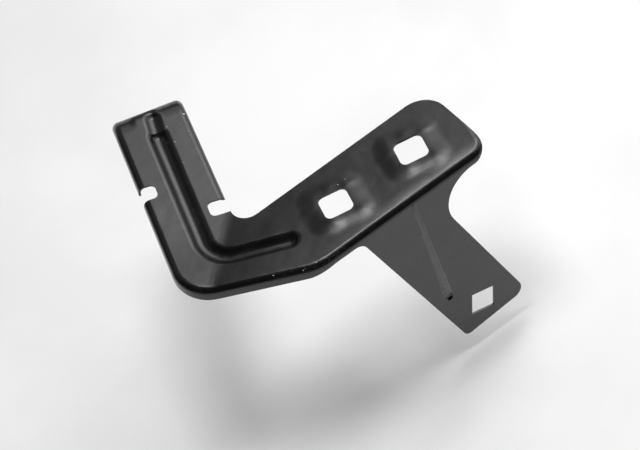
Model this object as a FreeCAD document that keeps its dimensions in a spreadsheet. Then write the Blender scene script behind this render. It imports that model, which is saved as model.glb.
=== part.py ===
# Pressed steel bracket: a flat strip with two square holes, a tab folded down
# from its front edge, and an arm that leaves the strip through a flanged corner.
#
# Frame (mm): X runs along the fold, Y away from the tab, Z up from the strip's face.
# The origin is the centre of the square hole nearest the arm, level with the strip.
#
# The sheet is the skin between two solids. The "punch side" solid is the
# "die side" solid moved in by one sheet thickness, so the skin keeps its gauge
# round every bend. The skin is then trimmed and pierced.

import FreeCAD, Part
import math
import os
import Sketcher

os.makedirs("parts", exist_ok=True)
doc = FreeCAD.newDocument("bracket")

# %% Sizes
SIZES = [
    ("sheet_gauge", 0.8),
    ("press_lean", 8.0),
    ("side_bend_radius", 2.5),
    ("end_bend_radius", 5.0),
    # strip
    ("fold_y", -17.96),
    ("strip_end_x", 52.5),
    ("strip_end_back_x", 50.55),
    ("strip_back_y", 17.1),
    ("strip_back_inner_y", 16.7),
    ("strip_back_corner_radius", 10.0),
    ("strip_front_corner_radius", 7.0),
    ("inner_corner_x", -30.32),
    ("inner_corner_radius", 6.0),
    ("arm_clear_x", -6.22),
    ("arm_clear_y", 96.04),
    # flanged corner and arm, traced at the strip's level
    ("toe_corner_x", -19.2),
    ("toe_corner_radius", 20.0),
    ("heel_corner_x", -61.35),
    ("heel_corner_y", 6.19),
    ("heel_corner_radius", 13.0),
    ("arm_angle", 73.4),
    ("arm_end_left_x", -39.1),
    ("arm_end_left_y", 81.94),
    ("arm_end_right_x", -13.6),
    ("arm_end_right_y", 76.84),
    ("arm_right_foot_x", -26.75),
    ("arm_right_foot_y", 27.44),
    # the slight upward bend of the arm
    ("rise_line_x", -43.72),
    ("rise_line_y", 9.14),
    ("rise_line_angle", 45.0),
    ("rise_angle", 10.0),
    ("rise_radius", 40.0),
    # flange depths below the face
    ("flange_depth", 4.7),
    ("flange_rise_angle", 11.0),
    ("open_edge_depth", 1.4),
    ("open_edge_start", 12.0),
    ("open_edge_side", -44.0),
    ("end_ear_side", -57.5),
    ("end_ear_start", 58.0),
    ("front_flange_depth", 3.5),
    ("flange_step_left_x", -22.5),
    ("flange_step_right_x", -13.5),
    ("flange_step_radius", 8.0),
    # tab
    ("tab_left_top_x", -2.15),
    ("tab_left_radius", 4.0),
    ("tab_right_top_x", 26.48),
    ("tab_right_radius", 14.0),
    ("tab_bottom_left_x", 20.28),
    ("tab_bottom_left_z", -77.55),
    ("tab_bottom_left_radius", 2.5),
    ("tab_bottom_right_x", 46.08),
    ("tab_bottom_right_z", -75.2),
    ("tab_bottom_right_radius", 4.0),
    ("lip_run_out_x", 46.78),
    ("lip_run_out_radius", 5.0),
    # rib down the tab
    ("rib_x", 19.58),
    ("rib_radius", 2.2),
    ("rib_height", 0.6),
    ("rib_tilt", 0.5),
    ("rib_bottom_z", -54.6),
    ("rib_dimple_floor", 0.9),
    ("rib_dimple_slope", 45.0),
    ("rib_dimple_depth", 0.75),
    # square holes
    ("strip_hole_side", 10.5),
    ("strip_hole_radius", 2.2),
    ("strip_hole_turn", -12.5),
    ("strip_hole_pitch", 32.0),
    ("tab_hole_side", 9.0),
    ("tab_hole_x", 30.3),
    ("tab_hole_z", -66.75),
    ("tab_hole_turn", 16.0),
    # raised seat round each strip hole
    ("seat_foot_side", 23.0),
    ("seat_slope", 7.0),
    ("seat_height", 0.55),
    ("seat_corner_radius", 7.0),
    ("seat_hidden_depth", 0.12),
    ("seat_soft_radius", 18.0),
    # groove, pressed as a round channel
    ("groove_radius", 3.0),
    ("groove_depth", 2.3),
    ("groove_entry_radius", 2.2),
    ("groove_corner_x", -45.02),
    ("groove_corner_y", 11.84),
    ("groove_corner_radius", 10.5),
    ("groove_toe_x", -20.32),
    ("groove_toe_y", -0.76),
    ("groove_step_x", -29.12),
    ("groove_step_y", 65.24),
    ("groove_top_x", -26.12),
    ("groove_top_y", 72.84),
    ("groove_step_rise", 1.0),
    # notches across the arm's edges
    ("left_notch_width", 5.9),
    ("right_notch_width", 6.4),
    ("notch_corner_radius", 1.8),
    ("left_notch_along", 32.71),
    ("left_notch_floor", -54.4),
    ("right_notch_along", 18.51),
    ("right_notch_floor", -40.5),
]
sheet = doc.addObject("Spreadsheet::Sheet", "sizes")
for row, (alias, number) in enumerate(SIZES, start=1):
    sheet.set("A%d" % row, alias)
    sheet.set("B%d" % row, "%g" % number)
    sheet.setAlias("B%d" % row, alias)
doc.recompute()
V = dict(SIZES)


# %% Helpers
class Term:
    """A size expression together with its present value."""

    def __init__(self, text, value):
        self.text = text
        self.value = value

    def __add__(self, other):
        other = term(other)
        return Term("(%s + %s)" % (self.text, other.text), self.value + other.value)

    def __sub__(self, other):
        other = term(other)
        return Term("(%s - %s)" % (self.text, other.text), self.value - other.value)

    def __mul__(self, other):
        other = term(other)
        return Term("(%s * %s)" % (self.text, other.text), self.value * other.value)

    def __truediv__(self, other):
        other = term(other)
        return Term("(%s / %s)" % (self.text, other.text), self.value / other.value)

    def __neg__(self):
        return Term("(0 - %s)" % self.text, -self.value)


def term(thing):
    if isinstance(thing, Term):
        return thing
    return Term("%.6g" % thing, float(thing))


def size(alias):
    return Term("sizes." + alias, V[alias])


def sine(angle):
    return Term("sin(%s * 1deg)" % angle.text, math.sin(math.radians(angle.value)))


def cosine(angle):
    return Term("cos(%s * 1deg)" % angle.text, math.cos(math.radians(angle.value)))


def tangent(angle):
    return Term("tan(%s * 1deg)" % angle.text, math.tan(math.radians(angle.value)))


def bind(thing, path, value):
    thing.setExpression(path, term(value).text)


def place(thing, x=0, y=0, z=0, axis=(0, 0, 1), angle=0):
    """Put an object at x, y, z, turned by an angle about an axis."""
    spot = FreeCAD.Vector(term(x).value, term(y).value, term(z).value)
    turn = FreeCAD.Rotation(FreeCAD.Vector(*axis), term(angle).value)
    thing.Placement = FreeCAD.Placement(spot, turn)
    bind(thing, "Placement.Base.x", x)
    bind(thing, "Placement.Base.y", y)
    bind(thing, "Placement.Base.z", z)
    bind(thing, "Placement.Rotation.Angle", angle)
    return thing


def rounded_polygon(name, corners, closed=True):
    """A sketch through named corners, each rounded by its own radius (0 keeps it sharp)."""
    sketch = doc.addObject("Sketcher::SketchObject", name)
    points = [FreeCAD.Vector(term(x).value, term(y).value, 0) for x, y, r in corners]
    count = len(points)
    starts = list(points)
    ends = list(points)
    arcs = [None] * count
    for i, (x, y, r) in enumerate(corners):
        radius = term(r).value
        if radius == 0 or (not closed and i in (0, count - 1)):
            continue
        before = (points[i - 1] - points[i]).normalize()
        after = (points[(i + 1) % count] - points[i]).normalize()
        half = before.getAngle(after) / 2
        reach = radius / math.tan(half)
        ends[i] = points[i] + before * reach
        starts[i] = points[i] + after * reach
        centre = points[i] + (before + after).normalize() * (radius / math.sin(half))
        turn = before.cross(after).z
        first = math.atan2(ends[i].y - centre.y, ends[i].x - centre.x)
        last = math.atan2(starts[i].y - centre.y, starts[i].x - centre.x)
        circle = Part.Circle(centre, FreeCAD.Vector(0, 0, 1), radius)
        # a left turn runs anticlockwise from the end of the line before
        if turn < 0:
            arcs[i] = (Part.ArcOfCircle(circle, first, last), 1, 2)
        else:
            arcs[i] = (Part.ArcOfCircle(circle, last, first), 2, 1)
    sides = count if closed else count - 1
    lines = []
    for i in range(sides):
        j = (i + 1) % count
        lines.append(sketch.addGeometry(Part.LineSegment(starts[i], ends[j]), False))
    for i, (x, y, r) in enumerate(corners):
        outgoing = lines[i] if i < sides else None
        incoming = lines[i - 1] if (closed or i > 0) else None
        if arcs[i] is None:
            line, end = (outgoing, 1) if outgoing is not None else (incoming, 2)
            if outgoing is not None and incoming is not None:
                sketch.addConstraint(Sketcher.Constraint("Coincident", incoming, 2, outgoing, 1))
            anchor, spot = line, end
        else:
            shape, near, far = arcs[i]
            arc = sketch.addGeometry(shape, False)
            sketch.addConstraint(Sketcher.Constraint("Tangent", incoming, 2, arc, near))
            sketch.addConstraint(Sketcher.Constraint("Tangent", outgoing, 1, arc, far))
            bound = sketch.addConstraint(Sketcher.Constraint("Radius", arc, term(r).value))
            sketch.setExpression("Constraints[%d]" % bound, term(r).text)
            anchor = sketch.addGeometry(Part.Point(points[i]), True)
            spot = 1
            sketch.addConstraint(Sketcher.Constraint("PointOnObject", anchor, 1, incoming))
            sketch.addConstraint(Sketcher.Constraint("PointOnObject", anchor, 1, outgoing))
        for kind, value in (("DistanceX", x), ("DistanceY", y)):
            rule = Sketcher.Constraint(kind, -1, 1, anchor, spot, term(value).value)
            bound = sketch.addConstraint(rule)
            sketch.setExpression("Constraints[%d]" % bound, term(value).text)
    return sketch


def offset(name, source, distance):
    shape = doc.addObject("Part::Offset2D", name)
    shape.Source = source
    shape.Join = 2
    shape.Value = term(distance).value
    bind(shape, "Value", distance)
    return shape


def extrude(name, profile, direction, forward, back=0, taper=None):
    """Extrude a profile along a direction, with an optional taper in degrees."""
    solid = doc.addObject("Part::Extrusion", name)
    solid.Base = profile
    solid.DirMode = "Custom"
    solid.Dir = FreeCAD.Vector(*[term(part).value for part in direction])
    for axis, part in zip("xyz", direction):
        bind(solid, "Dir." + axis, part)
    solid.Solid = True
    bind(solid, "LengthFwd", forward)
    bind(solid, "LengthRev", back)
    if taper is not None:
        bind(solid, "TaperAngle", taper)
    return solid


def join(name, kind, parts):
    """Fuse or intersect several shapes."""
    result = doc.addObject("Part::" + kind, name)
    result.Shapes = parts
    if "Refine" in result.PropertiesList:
        result.Refine = True
    return result


def cut(name, base, tool):
    result = doc.addObject("Part::Cut", name)
    result.Base = base
    result.Tool = tool
    result.Refine = True
    return result


# %% Faces of the press
# The press closes along a line that leans a little towards the heel of the arm.
lean = size("press_lean")
press = (-sine(lean), term(0), -cosine(lean))
gauge = size("sheet_gauge")
zero = term(0)

walls = rounded_polygon("press_walls", [
    (size("arm_end_left_x"), size("arm_end_left_y"), 0),
    (size("heel_corner_x"), size("heel_corner_y"), size("heel_corner_radius")),
    (size("toe_corner_x"), size("fold_y"), size("toe_corner_radius")),
    (size("strip_end_x"), size("fold_y"), size("strip_front_corner_radius")),
    (size("strip_end_x") + 6, size("strip_back_y") + 8, 4),
    (size("arm_right_foot_x") + 18, size("arm_right_foot_y") - 5.4, 6),
    (size("arm_right_foot_x"), size("arm_right_foot_y"), 2),
    (size("arm_end_right_x"), size("arm_end_right_y"), 0),
])
walls_in = offset("press_walls_in", walls, -gauge)

far = 200


def face_profile(name, depth, rise):
    """Outline of the space above a level that rises past the rise line."""
    slope = tangent(rise) * sine(size("rise_line_angle"))
    outline = rounded_polygon(name, [
        (zero, -depth, size("rise_radius")),
        (term(far), -depth, 0),
        (term(far), term(90), 0),
        (term(-far), term(90), 0),
        (term(-far), slope * far - depth, 0),
    ])
    return place(outline, size("rise_line_x"), size("rise_line_y"), 0, (1, 0, 0), 90)


# The face of the strip and, past the rise line, the face of the arm.
face = face_profile("press_face", zero, size("rise_angle"))
rise_line = (cosine(size("rise_line_angle")), sine(size("rise_line_angle")), zero)


def above_face(name, depth):
    """All the space above a surface that lies a given depth under the face."""
    profile = face if depth is None else offset(name + "_profile", face, depth)
    return extrude(name, profile, rise_line, far, far)


over_face = above_face("over_face", None)
over_face_in = above_face("over_face_in", gauge)


def pressed_block(name, outline, space, depth):
    """The solid inside the press walls and under the face."""
    column = extrude(name + "_column", outline, press, depth, 30)
    return cut(name + "_block", column, space)


die = pressed_block("die", walls, over_face, 12)
punch = pressed_block("punch", walls_in, over_face_in, 15)


# %% Groove
def face_height(x, y):
    """Height of the face over a plan point, smooth across the rise line."""
    turn = math.radians(V["rise_line_angle"])
    rise = math.radians(V["rise_angle"])
    across = (y - V["rise_line_y"]) * math.cos(turn) - (x - V["rise_line_x"]) * math.sin(turn)
    reach = V["rise_radius"] * math.tan(rise / 2)
    if across <= -reach:
        return 0.0
    if across >= reach:
        return across * math.tan(rise)
    return (across + reach) ** 2 * math.tan(rise) / (4 * reach)


def spine_point(point, lift):
    return FreeCAD.Vector(point.x, point.y, face_height(point.x, point.y) + lift)


toe = FreeCAD.Vector(V["groove_toe_x"], V["groove_toe_y"], 0)
elbow = FreeCAD.Vector(V["groove_corner_x"], V["groove_corner_y"], 0)
step = FreeCAD.Vector(V["groove_step_x"], V["groove_step_y"], 0)
top = FreeCAD.Vector(V["groove_top_x"], V["groove_top_y"], 0)
to_toe = (toe - elbow).normalize()
to_step = (step - elbow).normalize()
half_corner = to_toe.getAngle(to_step) / 2
reach = V["groove_corner_radius"] / math.tan(half_corner)
centre = elbow + (to_toe + to_step).normalize() * (V["groove_corner_radius"] / math.sin(half_corner))
turn_in = elbow + to_toe * reach
turn_out = elbow + to_step * reach
lift = V["groove_radius"] - V["groove_depth"]

arc_start = math.atan2(turn_in.y - centre.y, turn_in.x - centre.x) % (2 * math.pi)
arc_end = math.atan2(turn_out.y - centre.y, turn_out.x - centre.x) % (2 * math.pi)
BEND_STEPS = 6
bend_points = []
for i in range(BEND_STEPS + 1):
    angle = arc_start + (arc_end - arc_start) * i / BEND_STEPS
    spot = centre + FreeCAD.Vector(math.cos(angle), math.sin(angle), 0) * V["groove_corner_radius"]
    bend_points.append(spine_point(spot, lift))
leg_start = spine_point(toe, lift)
leg_end = spine_point(step, lift)
shallow_start = spine_point(step, lift + V["groove_step_rise"])
shallow_end = spine_point(top, lift + V["groove_step_rise"])
bend = Part.BSplineCurve()
bend.interpolate(
    bend_points,
    InitialTangent=(bend_points[0] - leg_start).normalize(),
    FinalTangent=(leg_end - bend_points[-1]).normalize(),
)
spine = doc.addObject("Part::Feature", "groove_line")
spine.Shape = Part.Wire([
    Part.makeLine(leg_start, bend_points[0]),
    bend.toShape(),
    Part.makeLine(bend_points[-1], leg_end),
])


def channel(name, extra):
    """The round channel along the groove line and its shallow end, wider by an extra radius."""
    radius = size("groove_radius") + extra
    ring = doc.addObject("Part::Circle", name + "_ring")
    bind(ring, "Radius", radius)
    heading = (bend_points[0] - leg_start).normalize()
    ring.Placement = FreeCAD.Placement(leg_start, FreeCAD.Rotation(FreeCAD.Vector(0, 0, 1), heading))
    tube = doc.addObject("Part::Sweep", name + "_tube")
    tube.Sections = [ring]
    tube.Spine = (spine, ["Edge1", "Edge2", "Edge3"])
    tube.Solid = True
    tube.Frenet = False
    shallow = doc.addObject("Part::Cylinder", name + "_shallow")
    bind(shallow, "Radius", radius)
    shallow.Height = (shallow_end - shallow_start).Length
    turned = FreeCAD.Rotation(FreeCAD.Vector(0, 0, 1), shallow_end - shallow_start)
    shallow.Placement = FreeCAD.Placement(shallow_start, turned)
    ends = []
    for label, spot in (("_toe", leg_start), ("_step", leg_end), ("_top", shallow_end)):
        ball = doc.addObject("Part::Sphere", name + label)
        bind(ball, "Radius", radius)
        ball.Placement.Base = spot
        ends.append(ball)
    return join(name, "MultiFuse", [tube, shallow] + ends)


channel_out = channel("channel", zero)
channel_in = channel("channel_in", gauge)


# %% Rounded bends
def rounded(name, base, passes):
    """A body that takes a solid and rounds the edges each test picks, pass by pass."""
    body = doc.addObject("PartDesign::Body", name)
    body.BaseFeature = base
    doc.recompute()
    last = body.Tip
    for index, (radius, test) in enumerate(passes, start=1):
        names = ["Edge%d" % n for n, e in enumerate(last.Shape.Edges, start=1) if test(e)]
        bend_edges = body.newObject("PartDesign::Fillet", "%s_round_%d" % (name, index))
        bend_edges.Base = (last, names)
        bind(bend_edges, "Radius", radius)
        bend_edges.UseAllEdges = False
        doc.recompute()
        last = bend_edges
    return body


def middle(edge):
    return edge.valueAt((edge.FirstParameter + edge.LastParameter) / 2)


def near_line(point, a, b, gap):
    """Whether a point stands within a gap of the plan line from a to b."""
    run = FreeCAD.Vector(b[0] - a[0], b[1] - a[1], 0).normalize()
    away = FreeCAD.Vector(point.x - a[0], point.y - a[1], 0)
    return abs(run.cross(away).z) < gap


def end_edge(depth):
    """Picks the edge across the arm's end, on the face or one gauge under it."""
    left = (V["arm_end_left_x"], V["arm_end_left_y"])
    right = (V["arm_end_right_x"], V["arm_end_right_y"])

    def test(edge):
        spot = middle(edge)
        level = face_height(spot.x, spot.y) - depth
        return near_line(spot, left, right, depth + 2) and abs(spot.z - level) < 0.3

    return test


def fold_edge(depth):
    """Picks the edge along the fold, from which the rounding runs all the way round."""

    def test(edge):
        spot = middle(edge)
        ends_level = abs(edge.Vertexes[0].Z + depth) < 0.01 and abs(edge.Vertexes[-1].Z + depth) < 0.01
        return ends_level and abs(spot.z + depth) < 0.01 and abs(spot.y - V["fold_y"] - depth) < 0.01

    return test


die_bent = rounded("die_bent", die, [
    (size("end_bend_radius"), end_edge(0)),
    (size("side_bend_radius"), fold_edge(0)),
])
punch_bent = rounded("punch_bent", punch, [
    (size("end_bend_radius") - gauge, end_edge(V["sheet_gauge"])),
    (size("side_bend_radius") - gauge, fold_edge(V["sheet_gauge"])),
])


def beside_groove(point):
    """Whether a point stands over the groove's lips in plan."""
    route = [toe] + bend_points + [step, top]
    gaps = []
    for a, b in zip(route, route[1:]):
        run = FreeCAD.Vector(b.x - a.x, b.y - a.y, 0)
        away = FreeCAD.Vector(point.x - a.x, point.y - a.y, 0)
        share = max(0.0, min(1.0, away.dot(run) / run.dot(run)))
        gaps.append((away - run * share).Length)
    return min(gaps) < V["groove_radius"] + V["sheet_gauge"] + 0.5


def lip_edge(depth):
    """Picks the edges where the groove opens into the face."""

    def test(edge):
        spots = [edge.valueAt(edge.FirstParameter), middle(edge), edge.valueAt(edge.LastParameter)]
        levels = [abs(spot.z - face_height(spot.x, spot.y) + depth) < 0.05 for spot in spots]
        return all(levels) and all(beside_groove(spot) for spot in spots)

    return test


die_grooved = rounded("die_grooved", cut("die_open", die_bent, channel_out), [
    (size("groove_entry_radius"), lip_edge(0)),
])
punch_grooved = rounded("punch_grooved", cut("punch_open", punch_bent, channel_in), [
    (size("groove_entry_radius") - gauge, lip_edge(V["sheet_gauge"])),
])


# %% Raised seats, tab and rib
def seat(name, along, drop):
    """A low rounded square round a strip hole; its slopes carry on below the face."""
    below = size("seat_hidden_depth")
    half = size("seat_foot_side") / 2 + below / tangent(size("seat_slope"))
    radius = size("seat_corner_radius")
    outline = rounded_polygon(name + "_outline", [
        (-half, -half, radius), (half, -half, radius), (half, half, radius), (-half, half, radius),
    ])
    rise = size("seat_height") + below
    block = extrude(name, outline, (zero, zero, term(1)), rise, 0, size("seat_slope") - 90)
    outline.Placement = FreeCAD.Placement(
        FreeCAD.Vector(along.value, 0, -(drop + below).value),
        FreeCAD.Rotation(FreeCAD.Vector(0, 0, 1), size("strip_hole_turn").value),
    )
    bind(outline, "Placement.Base.x", along)
    bind(outline, "Placement.Base.z", -(drop + below))
    return block


def tab_block(name, inset):
    """The deep block whose front face carries the tab."""
    block = doc.addObject("Part::Box", name)
    bind(block, "Length", 72)
    bind(block, "Width", 20)
    bind(block, "Height", 90)
    return place(block, -12, size("fold_y") + inset, -(size("front_flange_depth") + 90.4))


def rib(name, inset):
    """A round bar that stands out of the tab's face, more at its foot than at the fold."""
    bar = doc.addObject("Part::Cylinder", name)
    bind(bar, "Radius", size("rib_radius") - inset)
    bind(bar, "Height", -size("rib_bottom_z") - size("side_bend_radius"))
    depth = size("fold_y") + size("rib_radius") - size("rib_height")
    return place(bar, size("rib_x"), depth, size("rib_bottom_z"), (-1, 0, 0), size("rib_tilt"))


def rib_dimple(name, inset):
    """The blunt cone that dents the tab at the rib's foot."""
    cone = doc.addObject("Part::Cone", name)
    floor = size("rib_dimple_floor") + inset * tangent(size("rib_dimple_slope") / 2)
    height = size("rib_dimple_depth") + size("rib_height") + inset + 0.5
    bind(cone, "Radius1", floor)
    bind(cone, "Radius2", floor + height / tangent(size("rib_dimple_slope")))
    bind(cone, "Height", height)
    depth = size("fold_y") + size("rib_dimple_depth") + inset
    return place(cone, size("rib_x"), depth, size("rib_bottom_z"), (1, 0, 0), 90)


pitch = size("strip_hole_pitch")
outer_solid = join("die_solid", "MultiFuse", [
    die_grooved,
    seat("near_seat", zero, zero),
    seat("far_seat", pitch, zero),
    tab_block("tab_front", zero),
    rib("rib", zero),
])
inner_solid = join("punch_solid", "MultiFuse", [
    punch_grooved,
    seat("near_seat_in", zero, gauge),
    seat("far_seat_in", pitch, gauge),
    tab_block("tab_back", gauge),
    rib("rib_in", gauge),
])


def seat_edge(level):
    """Picks the edges round both seats that lie at one level."""

    def test(edge):
        spot = middle(edge)
        flat = all(abs(v.Z - level) < 0.01 for v in edge.Vertexes) and abs(spot.z - level) < 0.01
        near = min(math.hypot(spot.x - x, spot.y) for x in (0, V["strip_hole_pitch"]))
        return flat and near < V["seat_foot_side"] * 0.6

    return test


# The seats' edges are soft on the upper face only; underneath they stay crisp.
soft = size("seat_soft_radius")
outer_soft = rounded("die_soft", outer_solid, [
    (soft, seat_edge(V["seat_height"])),
    (soft, seat_edge(0)),
])
outer = cut("die_side", outer_soft, rib_dimple("dimple", zero))
inner = cut("punch_side", inner_solid, rib_dimple("dimple_in", gauge))
skin = cut("skin", outer, inner)

# %% Trimmed edges
flange_level = face_profile("flange_level", size("flange_depth"), size("flange_rise_angle"))
flange_space = extrude("flange_space", flange_level, rise_line, far, far)
arm_side = rounded_polygon("arm_side", [
    (-95, -30, 0),
    (size("flange_step_left_x"), -30, 0),
    (size("flange_step_left_x"), 0, 0),
    (75, 0, 0),
    (75, 110, 0),
    (-95, 110, 0),
])
arm_keep = join("arm_keep", "MultiCommon", [
    flange_space,
    extrude("arm_side_column", arm_side, (zero, zero, term(1)), 40, 40),
])

front = rounded_polygon("front_trim", [
    (size("flange_step_left_x") - 6, 40, 0),
    (size("flange_step_left_x") - 6, -size("flange_depth"), 0),
    (size("flange_step_left_x"), -size("flange_depth"), size("flange_step_radius")),
    (size("flange_step_right_x"), -size("front_flange_depth"), size("flange_step_radius")),
    (size("tab_left_top_x"), -size("front_flange_depth"), size("tab_left_radius")),
    (size("tab_bottom_left_x"), size("tab_bottom_left_z"), size("tab_bottom_left_radius")),
    (size("tab_bottom_right_x"), size("tab_bottom_right_z"), size("tab_bottom_right_radius")),
    (size("tab_right_top_x"), -size("front_flange_depth"), size("tab_right_radius")),
    (size("lip_run_out_x"), -size("front_flange_depth"), size("lip_run_out_radius")),
    (size("lip_run_out_x") + 8.5, size("front_flange_depth") * 0.2, 0),
    (size("lip_run_out_x") + 8.5, 40, 0),
])
place(front, 0, 0, 0, (1, 0, 0), 90)
front_keep = extrude("front_keep", front, (zero, term(1), zero), 30, 40)

plan = rounded_polygon("plan_trim", [
    (-100, -60, 0),
    (size("strip_end_x"), -60, 0),
    (size("strip_end_x"), size("fold_y") + size("strip_front_corner_radius"), 0),
    (size("strip_end_back_x"), size("strip_back_y"), size("strip_back_corner_radius")),
    (size("inner_corner_x"), size("strip_back_inner_y"), size("inner_corner_radius")),
    (size("arm_clear_x"), size("arm_clear_y"), 0),
    (-100, size("arm_clear_y"), 0),
])
plan_keep = extrude("plan_keep", plan, (zero, zero, term(1)), 40, 100)
keep = join("keep", "MultiFuse", [arm_keep, front_keep])

# The arm's inner edge and end are only rolled over, apart from an ear at the outer corner.
open_edge = rounded_polygon("open_edge", [
    (size("open_edge_side"), size("open_edge_start"), 0),
    (-15, size("open_edge_start"), 0),
    (-15, 90, 0),
    (size("end_ear_side"), 90, 0),
    (size("end_ear_side"), size("end_ear_start"), 0),
    (size("open_edge_side"), size("end_ear_start"), 0),
])
place(open_edge, 0, 0, 0, (0, 0, 1), size("arm_angle") - 90)
open_column = extrude("open_column", open_edge, (zero, zero, term(1)), 40, 40)
open_space = above_face("open_space", size("open_edge_depth"))
under_open_edge = cut("under_open_edge", open_column, open_space)
trimmed = cut("trimmed", join("trimmed_all", "MultiCommon", [skin, keep, plan_keep]), under_open_edge)


# %% Holes and notches
def square_punch(name, side, radius, x, y, z, turn, axis):
    """A square punch with rounded corners, turned about its own line of travel."""
    half = side / 2
    outline = rounded_polygon(name + "_outline", [
        (-half, -half, radius), (half, -half, radius), (half, half, radius), (-half, half, radius),
    ])
    bar = extrude(name, outline, (zero, zero, term(1)), 10, 10)
    tilt = FreeCAD.Rotation() if axis == "z" else FreeCAD.Rotation(FreeCAD.Vector(1, 0, 0), 90)
    spin = FreeCAD.Rotation(FreeCAD.Vector(0, 0, 1), turn.value)
    outline.Placement = FreeCAD.Placement(FreeCAD.Vector(0, 0, 0), tilt * spin)
    outline.Placement.Base = FreeCAD.Vector(term(x).value, term(y).value, term(z).value)
    for path, value in (("x", x), ("y", y), ("z", z)):
        bind(outline, "Placement.Base." + path, value)
    if axis == "y":
        bind(bar, "Dir.y", 1)
        bind(bar, "Dir.z", 0)
    return bar


def notch(name, width, along, floor, mouth):
    """A slot across the arm, from its rounded floor out past the arm's edge."""
    half = width / 2
    radius = size("notch_corner_radius")
    low = (floor, along - half, radius)
    high = (floor, along + half, radius)
    corners = [low, (mouth, along - half, 0), (mouth, along + half, 0), high]
    if floor.value > term(mouth).value:
        corners = [(mouth, along - half, 0), low, high, (mouth, along + half, 0)]
    outline = rounded_polygon(name + "_outline", corners)
    place(outline, 0, 0, 0, (0, 0, 1), size("arm_angle") - 90)
    return extrude(name, outline, (zero, zero, term(1)), 30, 30)


hole_side = size("strip_hole_side")
hole_radius = size("strip_hole_radius")
hole_turn = size("strip_hole_turn")
pierced = [
    square_punch("near_hole", hole_side, hole_radius, 0, 0, 0, hole_turn, "z"),
    square_punch("far_hole", hole_side, hole_radius, pitch, 0, 0, hole_turn, "z"),
    square_punch("tab_hole", size("tab_hole_side"), zero, size("tab_hole_x"), size("fold_y"),
                 size("tab_hole_z"), -size("tab_hole_turn"), "y"),
    notch("left_notch", size("left_notch_width"), size("left_notch_along"), size("left_notch_floor"), -75),
    notch("right_notch", size("right_notch_width"), size("right_notch_along"), size("right_notch_floor"), -25),
]
bracket = cut("bracket", trimmed, join("cutters", "MultiFuse", pierced))
bracket.Label = "bracket"
doc.recompute()

# %% Check and export
for thing in doc.Objects:
    if "Invalid" in thing.State or "Error" in thing.State:
        raise RuntimeError(thing.Name + " did not build")
    if thing.isDerivedFrom("Part::Feature") and (thing.Shape.isNull() or not thing.Shape.isValid()):
        raise RuntimeError(thing.Name + " has no valid shape")
if len(bracket.Shape.Solids) != 1:
    raise RuntimeError("the bracket is not one solid")
bracket.Shape.exportStep("parts/bracket.step")
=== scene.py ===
# %% [markdown]
# # A black pressed-steel bracket
#
# This lesson dresses one piece of folded sheet steel. The solid arrives ready made, at its real
# size, because bends and holes are better drawn than sculpted. So nothing is modelled here. The
# work is the finish, the light and the view: satin black paint that turns from near black to
# pale grey as the surface turns towards a soft lamp.

# %% Load the pressed sheet
import math

import bpy
from mathutils import Matrix, Vector


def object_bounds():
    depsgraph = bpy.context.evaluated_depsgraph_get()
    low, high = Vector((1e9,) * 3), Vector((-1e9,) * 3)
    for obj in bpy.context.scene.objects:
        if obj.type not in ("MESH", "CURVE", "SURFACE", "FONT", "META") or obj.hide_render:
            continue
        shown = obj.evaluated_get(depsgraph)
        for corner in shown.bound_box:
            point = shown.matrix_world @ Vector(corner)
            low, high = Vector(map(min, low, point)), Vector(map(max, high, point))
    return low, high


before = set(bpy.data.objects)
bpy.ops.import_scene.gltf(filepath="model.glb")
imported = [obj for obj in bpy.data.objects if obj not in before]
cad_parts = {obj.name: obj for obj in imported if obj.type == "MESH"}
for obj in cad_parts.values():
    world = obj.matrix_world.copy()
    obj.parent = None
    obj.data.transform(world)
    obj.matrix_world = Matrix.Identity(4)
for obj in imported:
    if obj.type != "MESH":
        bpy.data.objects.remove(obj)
solid_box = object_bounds()
MM = 0.001
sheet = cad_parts["bracket"]
print("sheet box in mm:", [round(v / MM, 1) for corner in solid_box for v in corner])

# %% [markdown]
# ## The view
#
# The bracket is seen from above its strip, turned a little clockwise, and its opposite edges
# stay parallel. A short lens close by would make them run together, so a very long one stands
# far away, as a photographer's would. Two directions fix how the camera is turned: which way of
# the sheet runs to the right of the picture, and which way runs up it. The third follows.

# %% Which way the picture looks
to_right = Vector((0.79806, -0.55136, -0.24311)).normalized()
to_top = Vector((0.57141, 0.56437, 0.59580))
to_top = (to_top - to_right * to_top.dot(to_right)).normalized()
to_viewer = to_right.cross(to_top)


def seen_from(right, top, viewer):
    """A direction of the sheet's frame, given as it looks in the picture."""
    return to_right * right + to_top * top + to_viewer * viewer


print("towards the viewer:", [round(part, 3) for part in to_viewer])

# %% The long lens
PICTURE_WIDTH = 640
PICTURE_HEIGHT = 450
PIXELS_PER_MM = 2.95
# where the middle of the strip's hole nearest the arm lies in the picture
HOLE_PIXEL = (336.0, 204.3)
CAMERA_DISTANCE = 6.0
SENSOR_WIDTH = 36.0

hole_right = (HOLE_PIXEL[0] - PICTURE_WIDTH / 2) / PIXELS_PER_MM * MM
hole_up = (PICTURE_HEIGHT / 2 - HOLE_PIXEL[1]) / PIXELS_PER_MM * MM
lens_data = bpy.data.cameras.new("long_lens")
lens_data.sensor_width = SENSOR_WIDTH
lens_data.lens = PIXELS_PER_MM / MM * SENSOR_WIDTH * CAMERA_DISTANCE / PICTURE_WIDTH
camera = bpy.data.objects.new("long_lens", lens_data)
bpy.context.scene.collection.objects.link(camera)
turn = Matrix((to_right, to_top, to_viewer)).transposed().to_4x4()
spot = seen_from(-hole_right, -hole_up, CAMERA_DISTANCE)
camera.matrix_world = Matrix.Translation(spot) @ turn
bpy.context.scene.camera = camera
print("lens in mm:", round(lens_data.lens, 1))

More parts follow.
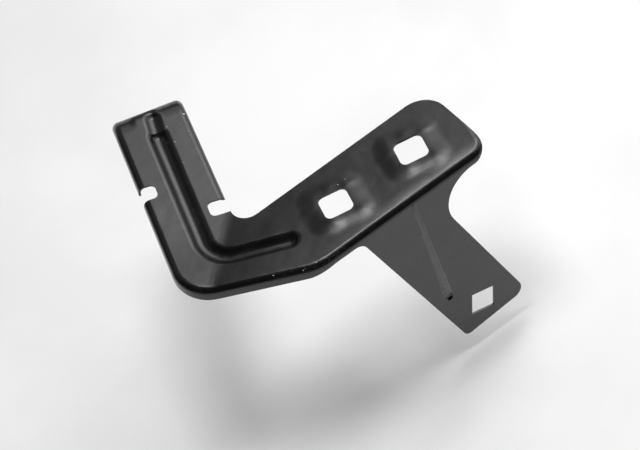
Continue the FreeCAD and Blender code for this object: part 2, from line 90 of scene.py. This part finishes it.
# %% [markdown]
# ## Writing shader maths as plain expressions
#
# A paint that changes over its surface needs a lot of small sums. They could be wired node by
# node, but that hides the idea. So one class wraps an output socket and lets Python's own signs
# add the Math nodes. A second class holds the node tree, and its one method for any other node
# takes the node's type, its settings and the values of its sockets.

# %% A socket that can be added and multiplied
class Signal:
    """One output of a node, or a sum built from it."""

    def __init__(self, shader, socket):
        self.shader = shader
        self.socket = socket

    def maths(self, operation, *others):
        values = dict(enumerate((self,) + others))
        return self.shader.signal(0, "ShaderNodeMath", {"operation": operation}, values)

    def __add__(self, other):
        return self.maths("ADD", other)

    def __sub__(self, other):
        return self.maths("SUBTRACT", other)

    def __mul__(self, other):
        return self.maths("MULTIPLY", other)

    def __truediv__(self, other):
        return self.maths("DIVIDE", other)

    def __rsub__(self, other):
        return self * -1.0 + other

    def __rtruediv__(self, other):
        return self.maths("POWER", -1.0) * other

    __radd__ = __add__
    __rmul__ = __mul__

    def step(self, low, high):
        """0 below low, 1 above high, and a smooth rise between them."""
        values = {"Value": self, "From Min": low, "From Max": high}
        return self.shader.signal(0, "ShaderNodeMapRange", {"interpolation_type": "SMOOTHSTEP"}, values)


# %% The node tree of a finish
class Shader:
    """The node tree of a material, or of the room."""

    def __init__(self, owner):
        owner.use_nodes = True
        self.tree = owner.node_tree

    def node(self, kind, settings=None, values=None):
        """A new node: its settings are made first, and then its sockets are filled."""
        made = self.tree.nodes.new(kind)
        for name, setting in (settings or {}).items():
            setattr(made, name, setting)
        self.fill(made, values or {})
        return made

    def fill(self, node, values):
        """Sockets by name or number, each given a signal, a link or a plain value."""
        for slot, value in values.items():
            if isinstance(value, Signal):
                self.tree.links.new(value.socket, node.inputs[slot])
            elif isinstance(value, bpy.types.NodeSocket):
                self.tree.links.new(value, node.inputs[slot])
            else:
                node.inputs[slot].default_value = value

    def signal(self, output, kind, settings=None, values=None):
        """One output of a new node, ready for sums."""
        return Signal(self, self.node(kind, settings, values).outputs[output])

    def place(self):
        """The point on the piece, in its own frame, in metres."""
        return self.node("ShaderNodeTexCoord").outputs["Object"]

    def axes(self, vector):
        """The three parts of a vector."""
        split = self.node("ShaderNodeSeparateXYZ", None, {"Vector": vector})
        return [Signal(self, split.outputs[axis]) for axis in "XYZ"]

    def noise(self, grain, detail):
        """Soft noise from 0 to 1, with a grain size in metres."""
        values = {"Vector": self.place(), "Scale": 1.0 / grain, "Detail": detail}
        return self.signal("Fac", "ShaderNodeTexNoise", None, values)

    def mix(self, share, first, second):
        """One colour turning into another as the share goes from 0 to 1."""
        values = {"Factor": share, "A": first, "B": second}
        return self.node("ShaderNodeMix", {"data_type": "RGBA"}, values).outputs["Result"]


def grey(value):
    return (value, value, value, 1.0)


# %% [markdown]
# ## Marks of the press
#
# The real sheet isn't as even as its drawing. The press leaves a slow waviness, the corners of
# the square holes pull small creases into their seats, the face rolls over gently towards the
# arm's end and the fold, and the heel is a little full. Vertices could be moved for this, but
# gloss shows slopes and not heights, and these slopes are small. So the marks are written as one
# height in millimetres, which a Bump node turns into slopes, and the solid keeps its size.

# %% Where a point lies, and how far it swells
def across_sheet(paint):
    """The place of a point on the sheet, as three numbers in millimetres."""
    return [part / MM for part in paint.axes(paint.place())]


def swelling(along, across, middle, reach, height):
    """A low rounded swelling, with its middle, reach and height in millimetres."""
    first = (along - middle[0]) / reach[0]
    second = (across - middle[1]) / reach[1]
    return ((first * first + second * second) * -1.0).maths("EXPONENT") * height


# %% Waves, and creases at the corners of the square holes
WAVE_GRAIN = 13 * MM
WAVE_HEIGHT = 0.22
SKIN_GRAIN = 1.1 * MM
SKIN_HEIGHT = 0.010
MARK_DETAIL = 2.0
HOLE_PITCH = 32.0
# each crease: its middle from the hole's middle, its reach both ways, its height
HOLE_CREASES = (
    ((-4.8, -5.4), (2.6, 3.2), 0.22),
    ((7.2, -8.4), (2.6, 3.2), 0.24),
    ((8.2, 3.9), (3.4, 1.5), 0.15),
    ((2.0, 7.6), (2.2, 2.0), 0.10),
    ((-8.0, 4.2), (3.0, 1.5), 0.10),
)


def waves_and_creases(paint, x, y):
    """The slow waves of the face, the fine ones of the coat, and the creases of both holes."""
    height = paint.noise(WAVE_GRAIN, MARK_DETAIL) * WAVE_HEIGHT
    height = height + paint.noise(SKIN_GRAIN, MARK_DETAIL) * SKIN_HEIGHT
    along = x - x.maths("GREATER_THAN", HOLE_PITCH / 2) * HOLE_PITCH
    for middle, reach, swell in HOLE_CREASES:
        height = height + swelling(along, y, middle, reach, swell)
    return height


print("creases at each hole:", len(HOLE_CREASES))

# %% The arm's end
ARM_END_CORNER = (-39.1, 81.94)
ARM_END_ALONG = (0.981, -0.196)
ARM_END_REACH = 9.0
ARM_END_CURL = 0.027
ARM_GROOVE_MIDDLE = 12.5
ARM_GROOVE_CLEAR = (3.5, 6.5)


def arm_end_roll(x, y):
    """How far the face rolls down towards the arm's end, on both sides of the groove."""
    from_corner_x = x - ARM_END_CORNER[0]
    from_corner_y = y - ARM_END_CORNER[1]
    inward = from_corner_x * ARM_END_ALONG[1] - from_corner_y * ARM_END_ALONG[0]
    sideways = from_corner_x * ARM_END_ALONG[0] + from_corner_y * ARM_END_ALONG[1]
    beside_groove = (sideways - ARM_GROOVE_MIDDLE).maths("ABSOLUTE").step(*ARM_GROOVE_CLEAR)
    past_start = (ARM_END_REACH - inward).maths("MAXIMUM", 0.0)
    return past_start * past_start * beside_groove * ARM_END_CURL


print("roll in mm, half way to the arm's end:", round((ARM_END_REACH / 2) ** 2 * ARM_END_CURL, 2))

# %% The heel and the shoulder before the fold
HEEL_SWELLING = ((-45.0, -2.0), (38.0, 18.0), 1.1)
SHOULDER_START = -11.0
SHOULDER_END = -15.5
SHOULDER_SIDES = (-22.0, 26.0)
SHOULDER_CURL = 0.016


def shoulder_roll(x, y):
    """How far the strip rolls down before its fold: steeper up to the shoulder's end, then even."""
    past_start = (SHOULDER_START - y).maths("MAXIMUM", 0.0)
    past_end = (SHOULDER_END - y).maths("MAXIMUM", 0.0)
    roll = past_start * past_start - past_end * past_end
    return roll * x.step(*SHOULDER_SIDES) * SHOULDER_CURL


def press_marks(paint):
    """The height of all the marks together, in millimetres."""
    x, y = across_sheet(paint)[:2]
    height = waves_and_creases(paint, x, y) - arm_end_roll(x, y)
    return height + swelling(x, y, *HEEL_SWELLING) - shoulder_roll(x, y)


print("steepest slope of the shoulder:", round(2 * SHOULDER_CURL * (SHOULDER_START - SHOULDER_END), 3))

# %% [markdown]
# ## Satin black paint
#
# The finish is a thin dipped or powdered coat. One flat black would look like plastic, because
# the coat's own colour is almost black and nearly all that shows is the soft mirror of its skin:
# the roughness matters more than the colour. Fine dust is a shade lighter than the paint, a
# painted highlight lies on one side of the tab's rib, grit catches along the front bend, and a
# few white specks sit where the coat is chipped. Each is a mask from 0 to 1 that mixes in a
# colour of its own.

# %% The painted highlight on one side of the tab's rib
RIB_X = 19.4
RIB_SHIFT = 0.45
RIB_SLIM = 0.35
RIB_WIDENING = 0.017
RIB_EDGE = (0.6, 1.2)
RIB_TOP = (-9.0, -3.0)
RIB_FOOT = (-55.5, -52.5)


def painted_rib_highlight(paint):
    """1 on the side of the tab's rib that gets a painted highlight, which widens downwards, and 0
    elsewhere.
    """
    x, y, z = across_sheet(paint)
    width = RIB_SLIM - z * RIB_WIDENING
    from_middle = (x + width * RIB_SHIFT - RIB_X) / width
    on_tab = (1 - z.step(*RIB_TOP)) * z.step(*RIB_FOOT)
    return (1 - from_middle.maths("ABSOLUTE").step(*RIB_EDGE)) * on_tab


# the pale side of the rib is a painted highlight; this is its width at the rib's foot
print("rubbed width in mm, at the rib's foot:", round(RIB_SLIM - RIB_FOOT[0] * RIB_WIDENING, 2))

# %% White specks
# each speck: its place on the sheet and its radius
CHIPS = (
    (-24.6, 66.7, 4.8, 0.15), (-26.1, 59.9, 4.1, 0.16), (-29.0, 51.0, 3.4, 0.13),
    (-20.0, 61.0, 3.5, 0.14), (-16.9, 67.9, 3.7, 0.34), (8.3, 6.2, 0.4, 0.16),
    (5.1, 6.1, 0.5, 0.20), (-32.9, -8.9, -0.4, 0.22), (-24.1, -14.5, -0.7, 0.22),
    (-19.1, -15.4, -0.1, 0.18), (50.9, -11.8, -2.2, 0.20),
)
CHIP_CORE = 0.5


def chips(paint):
    """1 on a white speck, 0 elsewhere."""
    found = None
    for x, y, z, radius in CHIPS:
        ends = {0: paint.place(), 1: (x * MM, y * MM, z * MM)}
        gap = paint.signal("Value", "ShaderNodeVectorMath", {"operation": "DISTANCE"}, ends)
        here = 1 - gap.step(radius * CHIP_CORE * MM, radius * MM)
        found = here if found is None else found.maths("MAXIMUM", here)
    return found


print("specks:", len(CHIPS))

# %% Where grit catches
# the part of the surface's normal that points up, on the bend's steep and flat sides
BEND_STEEP = (0.35, 0.5)
BEND_FLAT = (0.86, 0.94)
GRIT_LEFT = (-8.0, -4.0)
GRIT_FRONT = (-7.0, -4.0)


def on_front_bend(paint):
    """1 where the sheet turns over along its front edge, left of the tab, and 0 elsewhere."""
    normal = paint.node("ShaderNodeTexCoord").outputs["Normal"]
    upward = paint.axes(normal)[2].maths("ABSOLUTE")
    x, y = across_sheet(paint)[:2]
    place = (1 - x.step(*GRIT_LEFT)) * (1 - y.step(*GRIT_FRONT))
    return upward.step(*BEND_STEEP) * (1 - upward.step(*BEND_FLAT)) * place


print("grit lies left of x in mm:", GRIT_LEFT[1])

# %% Paint
PAINT_BLACK = grey(0.0034)
PAINT_DUST = grey(0.012)
# a pale colour that paints a highlight on one side of the tab's rib
PAINT_RIB_HIGHLIGHT = (0.085, 0.085, 0.078, 1.0)
PAINT_GRIT = (0.20, 0.20, 0.19, 1.0)
PAINT_CHIP = (0.62, 0.62, 0.60, 1.0)
PAINT_ROUGHNESS = 0.21
CLOUD_GRAIN = 9 * MM
CLOUD_DETAIL = 4.0
CLOUD_ROUGHNESS = 0.10
CHIP_ROUGHNESS = 0.3
DUST_GRAIN = 0.45 * MM
DUST_DETAIL = 3.0
DUST_FINE = 0.7
DUST_CLOUDY = 0.5
DUST_STEP = (0.62, 0.82)
GRIT_GRAIN = 0.32 * MM
GRIT_DETAIL = 1.0
GRIT_STEP = (0.69, 0.74)


def satin_black():
    material = bpy.data.materials.new("satin_black")
    paint = Shader(material)
    cloud = paint.noise(CLOUD_GRAIN, CLOUD_DETAIL)
    fine = paint.noise(DUST_GRAIN, DUST_DETAIL)
    dust = (fine * DUST_FINE + cloud * DUST_CLOUDY).step(*DUST_STEP)
    grit = paint.noise(GRIT_GRAIN, GRIT_DETAIL).step(*GRIT_STEP) * on_front_bend(paint)
    chip = chips(paint)
    colour = paint.mix(dust, PAINT_BLACK, PAINT_DUST)
    # painted highlight along one side of the tab's rib
    colour = paint.mix(painted_rib_highlight(paint), colour, PAINT_RIB_HIGHLIGHT)
    colour = paint.mix(grit, colour, PAINT_GRIT)
    colour = paint.mix(chip, colour, PAINT_CHIP)
    relief = {"Strength": 1.0, "Distance": MM, "Height": press_marks(paint)}
    paint.fill(paint.tree.nodes["Principled BSDF"], {
        "Base Color": colour,
        "Roughness": cloud * CLOUD_ROUGHNESS + chip * CHIP_ROUGHNESS + PAINT_ROUGHNESS,
        "Normal": paint.node("ShaderNodeBump", None, relief).outputs["Normal"],
    })
    return material


sheet.data.materials.clear()
sheet.data.materials.append(satin_black())
print("paint nodes:", len(sheet.data.materials[0].node_tree.nodes))

# %% [markdown]
# ## Floor
#
# The bracket hangs a little over a pale floor and leaves a wide soft shadow on it. A curved
# studio sweep would hide the floor's far edge, but one large flat face does the same, looks
# alike from every side, and can be left clear from below, so that the underside can be looked at
# as well. The floor also carries a painted glow that only mirror rays see: it is bright near the
# bracket and dim out in front, and the paint shows it as a painted reflection.

# %% Floor finish
FLOOR_PALE = grey(0.74)
FLOOR_DULL = grey(0.68)
FLOOR_GRAIN = 60 * MM
FLOOR_DETAIL = 5.0
FLOOR_MOTTLE = (0.3, 0.7)
FLOOR_ROUGHNESS = 0.9
FLOOR_SHINE = 0.1
FLOOR_LIFT = 0.07
FLOOR_MIRRORED_GLOW = 0.38
# the way from the strip out over its fold, and how far out the floor's painted glow for mirror rays goes
# dim
OUT_FRONT = (-0.297, -0.955)
FLOOR_FADE = (0.15, 0.7)


def floor_glow(floor):
    """A faint even glow that lifts the floor for the camera, and a painted glow, bright near the bracket,
    that only the paint's mirror rays see.
    """
    lift = floor.signal("Is Camera Ray", "ShaderNodeLightPath") * FLOOR_LIFT
    x, y = floor.axes(floor.place())[:2]
    near = 1 - (x * OUT_FRONT[0] + y * OUT_FRONT[1]).step(*FLOOR_FADE)
    # painted glow for mirror rays only, fading out in front of the strip
    mirrored = floor.signal("Is Glossy Ray", "ShaderNodeLightPath") * near * FLOOR_MIRRORED_GLOW
    return floor.mix(lift + mirrored, grey(0.0), grey(1.0))


def pale_floor():
    material = bpy.data.materials.new("pale_floor")
    floor = Shader(material)
    surface = floor.tree.nodes["Principled BSDF"]
    mottle = floor.noise(FLOOR_GRAIN, FLOOR_DETAIL).step(*FLOOR_MOTTLE)
    floor.fill(surface, {
        "Base Color": floor.mix(mottle, FLOOR_PALE, FLOOR_DULL),
        "Roughness": FLOOR_ROUGHNESS,
        "Specular IOR Level": FLOOR_SHINE,
        "Emission Color": floor_glow(floor),
        "Emission Strength": 1.0,
    })
    from_below = floor.node("ShaderNodeNewGeometry").outputs["Backfacing"]
    clear = floor.node("ShaderNodeBsdfTransparent").outputs["BSDF"]
    sides = {0: from_below, 1: surface.outputs["BSDF"], 2: clear}
    either = floor.node("ShaderNodeMixShader", None, sides).outputs["Shader"]
    floor.fill(floor.tree.nodes["Material Output"], {"Surface": either})
    return material


# %% Floor
FLOOR_GAP = 8 * MM
FLOOR_REACH = 6.0

floor_level = solid_box[0].z - FLOOR_GAP
corners = [(x * FLOOR_REACH, y * FLOOR_REACH, floor_level) for x, y in ((-1, -1), (1, -1), (1, 1), (-1, 1))]
floor_mesh = bpy.data.meshes.new("floor")
floor_mesh.from_pydata(corners, [], [(0, 1, 2, 3)])
floor_mesh.materials.append(pale_floor())
floor = bpy.data.objects.new("floor", floor_mesh)
bpy.context.scene.collection.objects.link(floor)
print("floor level in mm:", round(floor_level / MM, 1))

# %% [markdown]
# ## Light
#
# Black gloss shows the room and little else. A picture of a room could light it, but its bright
# patches lie where they happen to be. So the lamps are flat panels that hang one over another
# above the sheet, as in a studio with a soft ceiling, and each is set where a part of the sheet
# mirrors it. A thin bright one, with a milder one round it, draws the line along the fold. A
# small one is mirrored in the walls of the arm's groove. The bright and the window panel light
# the slopes of the seats, the broad mild one is what the flat faces mirror, and two wide dim ones
# stand for the walls on the right and on the left.

# %% One lamp
def area_lamp(name, width, depth, radiance, matrix):
    """A flat lamp of a given size in metres. The camera doesn't see it."""
    data = bpy.data.lights.new(name, "AREA")
    data.shape = "RECTANGLE"
    data.size = width
    data.size_y = depth
    data.energy = radiance * math.pi * width * depth
    lamp = bpy.data.objects.new(name, data)
    lamp.matrix_world = matrix
    lamp.visible_camera = False
    bpy.context.scene.collection.objects.link(lamp)
    print(name, "gives", round(data.energy, 3), "W")
    return lamp


# %% Ceiling panels
CEILING_UP = 570.0
CEILING_STEP = 12.0
# each panel: its left, right, far and near edge in mm as seen in the picture, and its radiance
CEILING_PANELS = (
    ("fold_line", -190, -50, 270, 430, 9.5),
    ("fold_panel", -215, -60, 235, 470, 2.2),
    ("arm_panel", -135, -50, 60, 165, 1.9),
    ("bright_panel", -60, 60, 125, 490, 3.0),
    ("window_panel", -38, 243, 0, 547, 2.5),
    ("mild_panel", -240, 900, -121, 825, 1.05),
    ("right_wall", 67, 2200, -755, 106, 0.9),
    ("left_wall", -1600, 67, -1300, 700, 0.2),
)

facing_down = Matrix((to_right, -to_viewer, to_top)).transposed().to_4x4()
for level, (name, left, right, far, near, radiance) in enumerate(CEILING_PANELS):
    middle = seen_from((left + right) / 2, CEILING_UP + CEILING_STEP * level, (far + near) / 2) * MM
    hung = Matrix.Translation(middle) @ facing_down
    area_lamp(name, (right - left) * MM, (near - far) * MM, radiance, hung)

# %% [markdown]
# ## The lamp for the shadow
#
# The shadow under the bracket needs one light from straight above. A panel of the ceiling could
# be made strong enough, but the paint would mirror it as a hard spot. So a separate lamp hangs
# over the floor and is left out of all mirroring: it lights the floor, and the paint hardly
# shows it.

# %% Floor lamp
FLOOR_LAMP_HEIGHT = 700 * MM
FLOOR_LAMP_SIZE = 200 * MM
FLOOR_LAMP_RADIANCE = 24.0

overhead = Matrix.Translation((0.0, 0.0, FLOOR_LAMP_HEIGHT))
floor_lamp = area_lamp("floor_lamp", FLOOR_LAMP_SIZE, FLOOR_LAMP_SIZE, FLOOR_LAMP_RADIANCE, overhead)
floor_lamp.visible_glossy = False

# %% [markdown]
# ## Room and backdrop
#
# Beyond the floor the background is even and pale. A bright room would give that, but it would
# also wash out the black. So the room is dim as a light, and pale only where the camera looks
# straight at it. The Standard view shows each colour as it is written.

# %% Room
ROOM_TINT = (0.96, 0.98, 1.0, 1.0)
ROOM_DIM = 0.04
ROOM_BACKDROP = 0.78

world = bpy.data.worlds.new("room")
room = Shader(world)
seen = room.signal("Is Camera Ray", "ShaderNodeLightPath")
strength = seen * (ROOM_BACKDROP - ROOM_DIM) + ROOM_DIM
room.fill(room.tree.nodes["Background"], {"Color": ROOM_TINT, "Strength": strength})
bpy.context.scene.world = world
bpy.context.scene.view_settings.view_transform = "Standard"
print("room strength as a light and as a backdrop:", ROOM_DIM, ROOM_BACKDROP)
